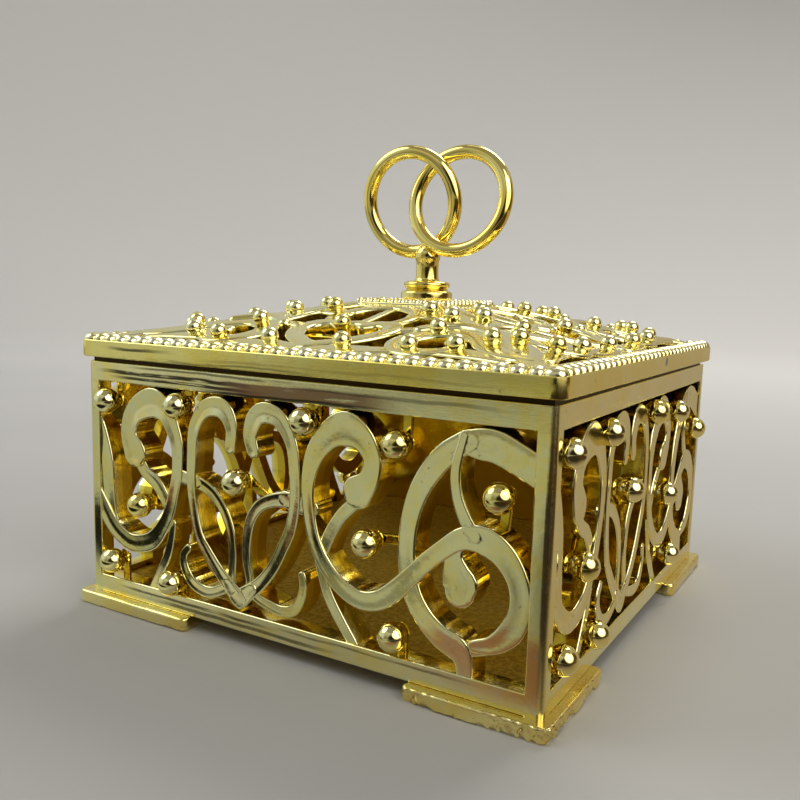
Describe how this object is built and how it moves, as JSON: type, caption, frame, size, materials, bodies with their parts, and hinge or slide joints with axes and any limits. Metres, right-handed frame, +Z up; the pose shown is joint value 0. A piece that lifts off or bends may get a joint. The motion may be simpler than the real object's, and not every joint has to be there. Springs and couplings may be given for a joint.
{
  "type": "filigree coin box",
  "caption": "Small square gold filigree box on corner feet, with a low pyramid lid topped by two interlinked rings; holds wedding coins or a keepsake.",
  "frame": {"origin": "centre of the footprint, on the plane of the feet's undersides", "axes": "+Z up along the stem and the lid's lift, -Y the front panel, +X the right panel"},
  "size_m": [0.0634, 0.0634, 0.0585],
  "materials": {
    "panel_gold": "vacuum-metallised gold, mirror gloss with fine drag lines",
    "floor_gold": "vacuum-metallised gold, satin",
    "foot_gold": "vacuum-metallised gold, gloss with trimmed edges",
    "stud_gold": "vacuum-metallised gold, mirror gloss",
    "rim_gold": "vacuum-metallised gold, gloss",
    "lip_gold": "vacuum-metallised gold, satin",
    "bead_gold": "vacuum-metallised gold, mirror gloss",
    "scroll_gold": "vacuum-metallised gold, gloss",
    "peg_gold": "vacuum-metallised gold, mirror gloss",
    "finial_gold": "vacuum-metallised gold, mirror gloss",
    "ring_gold": "vacuum-metallised gold, mirror gloss"
  },
  "bodies": {
    "box": {"base_plate": "floor_gold", "foot_front_left": "foot_gold", "foot_front_right": "foot_gold", "foot_back_right": "foot_gold", "foot_back_left": "foot_gold", "panel_front": "panel_gold", "panel_right": "panel_gold", "panel_back": "panel_gold", "panel_left": "panel_gold", "studs_front": "stud_gold", "studs_right": "stud_gold", "studs_back": "stud_gold", "studs_left": "stud_gold"},
    "lid": {"lid_rim": "rim_gold", "lid_lip": "lip_gold", "lid_bead_border": "bead_gold", "lid_scroll_front": "scroll_gold", "lid_scroll_right": "scroll_gold", "lid_scroll_back": "scroll_gold", "lid_scroll_left": "scroll_gold", "lid_pegs": "peg_gold", "lid_platform": "scroll_gold", "platform_bead_border": "bead_gold", "finial_collar": "finial_gold", "finial_stem": "finial_gold", "ring_left": "ring_gold", "ring_right": "ring_gold"}
  },
  "joints": [
    {"name": "lid_lift", "type": "slide", "parent": "box", "child": "lid", "axis": [0, 0, 1], "range_m": [0, 0.045]}
  ]
}
